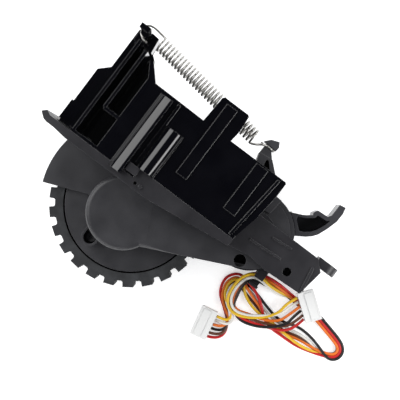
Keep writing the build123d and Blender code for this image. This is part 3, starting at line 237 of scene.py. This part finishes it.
# Each wire's control points, listed: round the small loop at the start, out along the floor to the
# turn on the right, back over the start and on to the other connector.
routes = {
    "yellow": [
        (14.8, -38.9, 3.2), (16.9, -37.8, 3.0), (17.1, -35.2, 2.9), (15.0, -33.2, 2.9),
        (11.4, -31.8, 2.6), (8.4, -29.0, 2.2), (7.3, -24.4, 2.2), (8.8, -20.6, 2.2), (12.6, -20.4, 2.1),
        (15.6, -23.8, 2.1), (19.8, -26.0, 2.1), (26.0, -27.4, 2.1), (33.6, -26.9, 2.1),
        (41.0, -27.6, 2.1), (49.0, -27.9, 2.1), (57.6, -26.0, 1.2), (63.3, -24.1, 0.75),
        (65.6, -21.8, 0.75), (65.6, -18.6, 0.75), (63.0, -16.3, 0.75), (53.8, -14.2, 0.75),
        (45.0, -12.2, 0.75), (36.4, -12.6, 0.75), (28.6, -13.9, 3.2), (22.6, -14.4, 5.6),
        (16.6, -13.2, 6.2), (12.2, -14.9, 6.0), (9.8, -19.4, 5.8), (9.4, -25.2, 5.6),
        (11.0, -31.2, 5.6), (15.8, -34.2, 5.4), (22.6, -32.0, 5.0), (28.8, -27.2, 5.0),
        (32.9, -21.6, 5.2), (33.0, -16.0, 5.9),
    ],
    "white": [
        (15.6, -40.6, 2.6), (18.2, -39.2, 2.8), (18.5, -36.6, 2.9), (16.9, -34.6, 2.9),
        (13.4, -33.2, 2.9), (10.4, -30.8, 2.4), (9.3, -27.6, 2.2), (9.0, -24.2, 2.2),
        (10.8, -21.8, 2.2), (15.6, -21.4, 0.75), (20.6, -22.4, 0.75), (25.8, -24.2, 0.75),
        (33.0, -25.5, 0.75), (41.0, -24.8, 0.75), (49.0, -23.4, 0.75), (56.0, -24.3, 0.75),
        (63.8, -25.4, 0.75), (66.9, -22.4, 0.75), (66.9, -18.0, 0.75), (63.6, -15.0, 0.75),
        (53.8, -12.9, 0.75), (45.0, -10.9, 0.75), (36.4, -11.3, 0.75), (29.4, -14.9, 2.2),
        (22.8, -15.4, 5.0), (16.4, -14.6, 6.2), (12.8, -16.6, 5.9), (11.2, -20.4, 5.7),
        (10.8, -25.4, 5.6), (12.4, -30.4, 5.6), (16.6, -32.8, 5.2), (23.0, -30.6, 4.9),
        (29.4, -25.8, 4.9), (34.2, -21.2, 5.0), (35.0, -16.6, 5.4),
    ],
    "orange": [
        (15.9, -42.4, 2.9), (18.0, -39.2, 1.7), (14.6, -35.4, 1.6), (9.4, -32.2, 1.4),
        (6.9, -28.0, 1.2), (6.4, -23.4, 1.2), (9.2, -19.3, 1.2), (14.6, -21.0, 2.1), (20.0, -23.2, 2.1),
        (25.2, -24.6, 2.1), (31.4, -28.4, 0.75), (39.6, -28.2, 0.75), (48.4, -25.6, 0.75),
        (55.4, -25.2, 1.2), (62.6, -22.9, 2.1), (64.4, -21.3, 2.1), (64.4, -19.1, 2.1),
        (62.4, -17.5, 2.1), (53.8, -15.5, 2.1), (45.0, -13.5, 2.1), (36.8, -13.2, 2.1),
        (29.2, -12.6, 3.6), (22.4, -12.7, 4.9), (16.6, -13.4, 4.9), (12.8, -15.6, 4.8),
        (11.4, -20.4, 4.6), (11.9, -25.8, 4.4), (13.4, -30.0, 4.4), (17.0, -32.0, 4.2),
        (22.8, -30.0, 3.7), (29.2, -28.4, 3.6), (35.2, -24.8, 3.7), (37.0, -19.6, 4.8),
    ],
    "black": [
        (16.4, -44.4, 2.2), (18.6, -41.2, 1.7), (15.8, -36.6, 1.6), (11.2, -32.8, 1.4),
        (8.4, -28.6, 0.75), (7.8, -24.4, 0.75), (10.2, -20.9, 0.75), (15.4, -19.9, 0.75),
        (20.8, -20.8, 0.75), (26.4, -22.5, 0.75), (33.4, -24.1, 0.75), (38.6, -23.6, 0.75),
        (44.0, -21.4, 0.75), (51.0, -21.6, 0.75), (56.6, -23.0, 2.0), (63.4, -25.2, 2.4),
        (66.9, -22.4, 2.1), (66.9, -18.2, 2.1), (63.4, -15.2, 2.1), (53.8, -12.9, 2.1),
        (45.0, -10.9, 2.1), (38.0, -11.2, 2.1), (32.8, -12.4, 1.8), (26.8, -13.6, 3.6),
        (21.6, -15.2, 4.9), (16.8, -15.8, 4.9), (13.5, -17.2, 4.9), (12.6, -21.6, 4.6),
        (13.6, -27.2, 4.4), (15.0, -32.0, 4.4), (20.6, -35.0, 3.8), (28.2, -32.8, 3.9),
        (34.6, -28.4, 4.9), (38.8, -23.2, 4.9), (39.0, -19.2, 5.2),
    ],
    "brown": [
        (16.9, -46.2, 2.9), (19.3, -42.6, 1.7), (16.9, -37.8, 1.6), (12.6, -33.6, 1.4),
        (9.8, -29.2, 0.75), (9.2, -25.2, 0.75), (11.0, -22.3, 0.75), (15.2, -23.4, 0.75),
        (20.2, -24.6, 0.75), (25.4, -25.9, 0.75), (32.4, -27.7, 0.75), (40.6, -26.6, 0.75),
        (48.8, -24.6, 0.75), (56.0, -25.6, 0.75), (62.6, -22.9, 0.75), (64.3, -21.3, 0.75),
        (64.3, -19.1, 0.75), (62.4, -17.5, 0.75), (53.8, -15.5, 0.75), (45.0, -13.5, 0.75),
        (36.6, -13.8, 0.75), (29.0, -13.4, 2.4), (22.4, -14.0, 4.9), (16.6, -14.6, 4.9),
        (12.9, -16.6, 4.8), (11.9, -21.2, 4.6), (12.8, -26.4, 4.4), (14.6, -30.9, 4.4),
        (18.8, -33.0, 4.0), (24.2, -31.4, 3.7), (30.4, -29.4, 3.6), (37.4, -26.2, 3.6),
        (40.8, -22.0, 4.6),
    ],
    "red": [
        (17.4, -48.0, 2.2), (19.9, -43.8, 0.9), (17.2, -38.4, 0.7), (12.4, -34.6, 0.7),
        (7.2, -31.0, 0.7), (5.2, -27.0, 0.75), (4.9, -22.4, 0.75), (8.6, -17.9, 0.75),
        (14.6, -18.8, 2.0), (20.0, -20.6, 2.9), (25.0, -23.6, 3.2), (28.8, -27.4, 1.8),
        (33.6, -29.4, 0.75), (41.0, -29.2, 0.75), (49.0, -28.9, 0.75), (57.4, -26.4, 1.4),
        (63.2, -24.1, 2.1), (65.6, -21.8, 2.1), (65.6, -18.6, 2.1), (62.9, -16.3, 2.1),
        (53.8, -14.2, 2.1), (45.0, -12.2, 2.1), (36.6, -12.0, 2.1), (30.6, -11.6, 3.0),
        (24.6, -11.2, 4.6), (17.2, -12.1, 4.9), (12.0, -14.9, 4.9), (10.2, -20.0, 4.7),
        (10.4, -26.0, 4.4), (12.2, -31.4, 4.4), (16.6, -33.9, 4.3), (23.2, -33.2, 3.7),
        (30.8, -30.6, 3.6), (38.6, -27.6, 3.6), (42.4, -23.0, 4.6),
    ],
}


def wire_points(index, name):
    """One wire's points: its place in one connector, its own loose route, and its place in the other."""
    across = ((len(routes) - 1) / 2 - index) * connector_pitch
    layer = row_step / 2 if index % 2 == 0 else -row_step / 2
    ends = []
    for point, heading in ((start_point, start_heading), (end_point, end_heading)):
        ends.append((point[0] - across * heading[1], point[1] + across * heading[0], point[2] + layer))
    return [ends[0]] + routes[name] + [ends[1]]


def cord_curve(name, points, diameter):
    """A round cord along a smooth NURBS line through millimetre control points."""
    data = bpy.data.curves.new(name, "CURVE")
    data.dimensions = "3D"
    data.bevel_depth = diameter / 2 * mm
    data.bevel_resolution = 4
    data.resolution_u = 10
    spline = data.splines.new("NURBS")
    spline.points.add(len(points) - 1)
    for place, point in zip(spline.points, points):
        place.co = (*(value * mm for value in point), 1)
    spline.order_u = 3
    spline.use_endpoint_u = True
    piece = bpy.data.objects.new(name, data)
    bpy.context.scene.collection.objects.link(piece)
    return piece


for index, name in enumerate(routes):
    points = wire_points(index, name)
    wire = cord_curve(f"lead_{name}", points, wire_diameter)
    wire.data.materials.append(finishes[f"wire_{name}"])
    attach(wire, "frame")
    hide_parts(f"wire_{name}")


# Extension spring: the wound coil between the frame and the arm

spring_height = 42.0
coil_radius, spring_wire = 3.5, 0.9
coil_start = Vector((-76.0, 38.4, spring_height))
coil_end = Vector((-22.9, 31.0, spring_height))
coil_turns = 31.5
steps_per_turn = 16
along = (coil_end - coil_start).normalized()
peg_loop = [
    (-80.8, 35.2, 42.4), (-84.0, 35.6, 42.2), (-85.95, 38.0, 42.0),
    (-85.6, 40.9, 42.0), (-82.6, 42.5, 42.0), (-78.2, 41.6, 42.0),
]
lever_loop = [
    (-21.3, 28.6, 42.0), (-19.4, 29.9, 42.6), (-17.9, 31.0, 44.4),
    (-15.4, 31.0, 44.8), (-13.3, 31.0, 43.5), (-13.1, 31.0, 40.6),
    (-14.6, 31.0, 38.5), (-17.9, 31.0, 38.7), (-19.2, 31.1, 40.8),
]


def coil_points():
    """The wire's centreline along the coil, between the two loops."""
    aside = Vector((-along.y, along.x, 0))
    up = Vector((0, 0, 1))
    middle_radius = coil_radius - spring_wire / 2
    coil_length = (coil_end - coil_start).length
    steps = round(coil_turns * steps_per_turn)
    points = []
    for step in range(steps + 1):
        turn = 2 * math.pi * step / steps_per_turn
        centre = coil_start + along * (coil_length * step / steps)
        points.append(centre + (aside * math.cos(turn) + up * math.sin(turn)) * middle_radius)
    return points


def wound_mesh(points):
    """A mesh of round wire along a smooth line through millimetre control points."""
    curve = bpy.data.curves.new("spring_curve", "CURVE")
    curve.dimensions = "3D"
    curve.bevel_depth = spring_wire / 2 * mm
    curve.bevel_resolution = 3
    curve.resolution_u = 3
    curve.use_fill_caps = True
    spline = curve.splines.new("NURBS")
    spline.points.add(len(points) - 1)
    for place, point in zip(spline.points, points):
        place.co = (*(point * mm), 1)
    spline.order_u = 4
    spline.use_endpoint_u = True
    piece = bpy.data.objects.new("spring_curve", curve)
    bpy.context.scene.collection.objects.link(piece)
    bpy.context.view_layer.update()
    depsgraph = bpy.context.evaluated_depsgraph_get()
    mesh = bpy.data.meshes.new_from_object(piece.evaluated_get(depsgraph))
    bpy.data.objects.remove(piece)
    for polygon in mesh.polygons:
        polygon.use_smooth = True
    return mesh


wire_line = [*map(Vector, peg_loop), *coil_points(), *map(Vector, lever_loop)]
spring = bpy.data.objects.new("wound_spring", wound_mesh(wire_line))
bpy.context.scene.collection.objects.link(spring)
spring.data.materials.clear()
spring.data.materials.append(finishes["spring_steel"])
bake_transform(spring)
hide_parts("spring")


# Studio: pale floor, soft lights and the camera over the module

floor_half_width = 1.5
floor_reflectance, floor_glow = 0.9, 0.45
ambient_strength, reflected_strength, backdrop_strength = 0.42, 0.03, 1.0


def mixed(tree, share, first, second):
    """The first shader where the share is 0, and the second where it is 1."""
    mix = tree.nodes.new("ShaderNodeMixShader")
    tree.links.new(share, mix.inputs["Fac"])
    tree.links.new(first, mix.inputs[1])
    tree.links.new(second, mix.inputs[2])
    return mix.outputs["Shader"]


def pale_finish():
    """The floor's finish: matt and pale, with a glow that only the camera and reflections see."""
    material = bpy.data.materials.new("floor_pale")
    material.use_nodes = True
    tree = material.node_tree
    tree.nodes.clear()
    output = tree.nodes.new("ShaderNodeOutputMaterial")
    diffuse = tree.nodes.new("ShaderNodeBsdfDiffuse")
    diffuse.inputs["Color"].default_value = (floor_reflectance, floor_reflectance, floor_reflectance, 1)
    glow = tree.nodes.new("ShaderNodeEmission")
    glow.inputs["Color"].default_value = (1, 1, 1, 1)
    glow.inputs["Strength"].default_value = floor_glow
    both = tree.nodes.new("ShaderNodeAddShader")
    tree.links.new(diffuse.outputs["BSDF"], both.inputs[0])
    tree.links.new(glow.outputs["Emission"], both.inputs[1])
    rays = tree.nodes.new("ShaderNodeLightPath")
    seen = tree.nodes.new("ShaderNodeMath")
    seen.operation = "MAXIMUM"
    tree.links.new(rays.outputs["Is Camera Ray"], seen.inputs[0])
    tree.links.new(rays.outputs["Is Glossy Ray"], seen.inputs[1])
    surface = mixed(tree, seen.outputs["Value"], diffuse.outputs["BSDF"], both.outputs["Shader"])
    tree.links.new(surface, output.inputs["Surface"])
    return material


def background(tree, colour, strength):
    """One even background of the world."""
    node = tree.nodes.new("ShaderNodeBackground")
    node.inputs["Color"].default_value = (*colour, 1)
    node.inputs["Strength"].default_value = strength
    return node.outputs["Background"]


def studio_world():
    """A world that lights softly, looks white to the camera and stays dark in reflections."""
    world = bpy.data.worlds.new("studio")
    bpy.context.scene.world = world
    world.use_nodes = True
    tree = world.node_tree
    tree.nodes.clear()
    output = tree.nodes.new("ShaderNodeOutputWorld")
    ambient = background(tree, (0.95, 0.97, 1), ambient_strength)
    backdrop = background(tree, (1, 1, 1), backdrop_strength)
    dark = background(tree, (0.9, 0.92, 1), reflected_strength)
    rays = tree.nodes.new("ShaderNodeLightPath")
    unseen = mixed(tree, rays.outputs["Is Glossy Ray"], ambient, dark)
    surface = mixed(tree, rays.outputs["Is Camera Ray"], unseen, backdrop)
    tree.links.new(surface, output.inputs["Surface"])


def area_light(name, place, target, width, height, power):
    """A rectangular light at a place, facing a target, with its sides in metres and its power in watts."""
    data = bpy.data.lights.new(name, "AREA")
    data.shape = "RECTANGLE"
    data.size = width
    data.size_y = height
    data.energy = power
    lamp = bpy.data.objects.new(name, data)
    lamp.location = place
    lamp.rotation_euler = (Vector(target) - Vector(place)).to_track_quat("-Z", "Y").to_euler()
    bpy.context.scene.collection.objects.link(lamp)


signs = ((-1, -1), (1, -1), (1, 1), (-1, 1))
corners = [(x * floor_half_width, y * floor_half_width, 0) for x, y in signs]
floor_mesh = bpy.data.meshes.new("floor")
floor_mesh.from_pydata(corners, [], [(0, 1, 2, 3)])
floor_mesh.materials.append(pale_finish())
floor = bpy.data.objects.new("floor", floor_mesh)
bpy.context.scene.collection.objects.link(floor)

studio_world()
module_centre = (-0.025, -0.003, 0.02)
arm_end = (0.02, 0.0, 0.02)
area_light("left", (-0.55, -0.02, 0.44), module_centre, 0.7, 0.62, 4.2)
area_light("right", (0.21, 0.06, 0.2), arm_end, 0.16, 0.14, 0.42)
area_light("top", (-0.02, 0.6, 0.34), module_centre, 0.8, 0.2, 2.2)
area_light("bottom", (-0.02, -0.6, 0.3), module_centre, 0.7, 0.2, 1.6)

# The camera looks straight down. Its focal length is in pixels of a picture this wide, its height in
# metres and its turn in degrees.
picture_pixels, focal_pixels = 400, 968.8
sensor_width = 36
camera_height, camera_turn = 0.435, 37
camera_data = bpy.data.cameras.new("camera")
camera_data.sensor_width = sensor_width
camera_data.lens = focal_pixels / picture_pixels * sensor_width
camera_data.clip_start = 0.01
camera_data.clip_end = 10
camera = bpy.data.objects.new("camera", camera_data)
camera.location = (-0.02524, -0.0026, camera_height)
camera.rotation_euler = (0, 0, math.radians(camera_turn))
bpy.context.scene.collection.objects.link(camera)
bpy.context.scene.camera = camera

bpy.context.scene.view_settings.view_transform = "Standard"
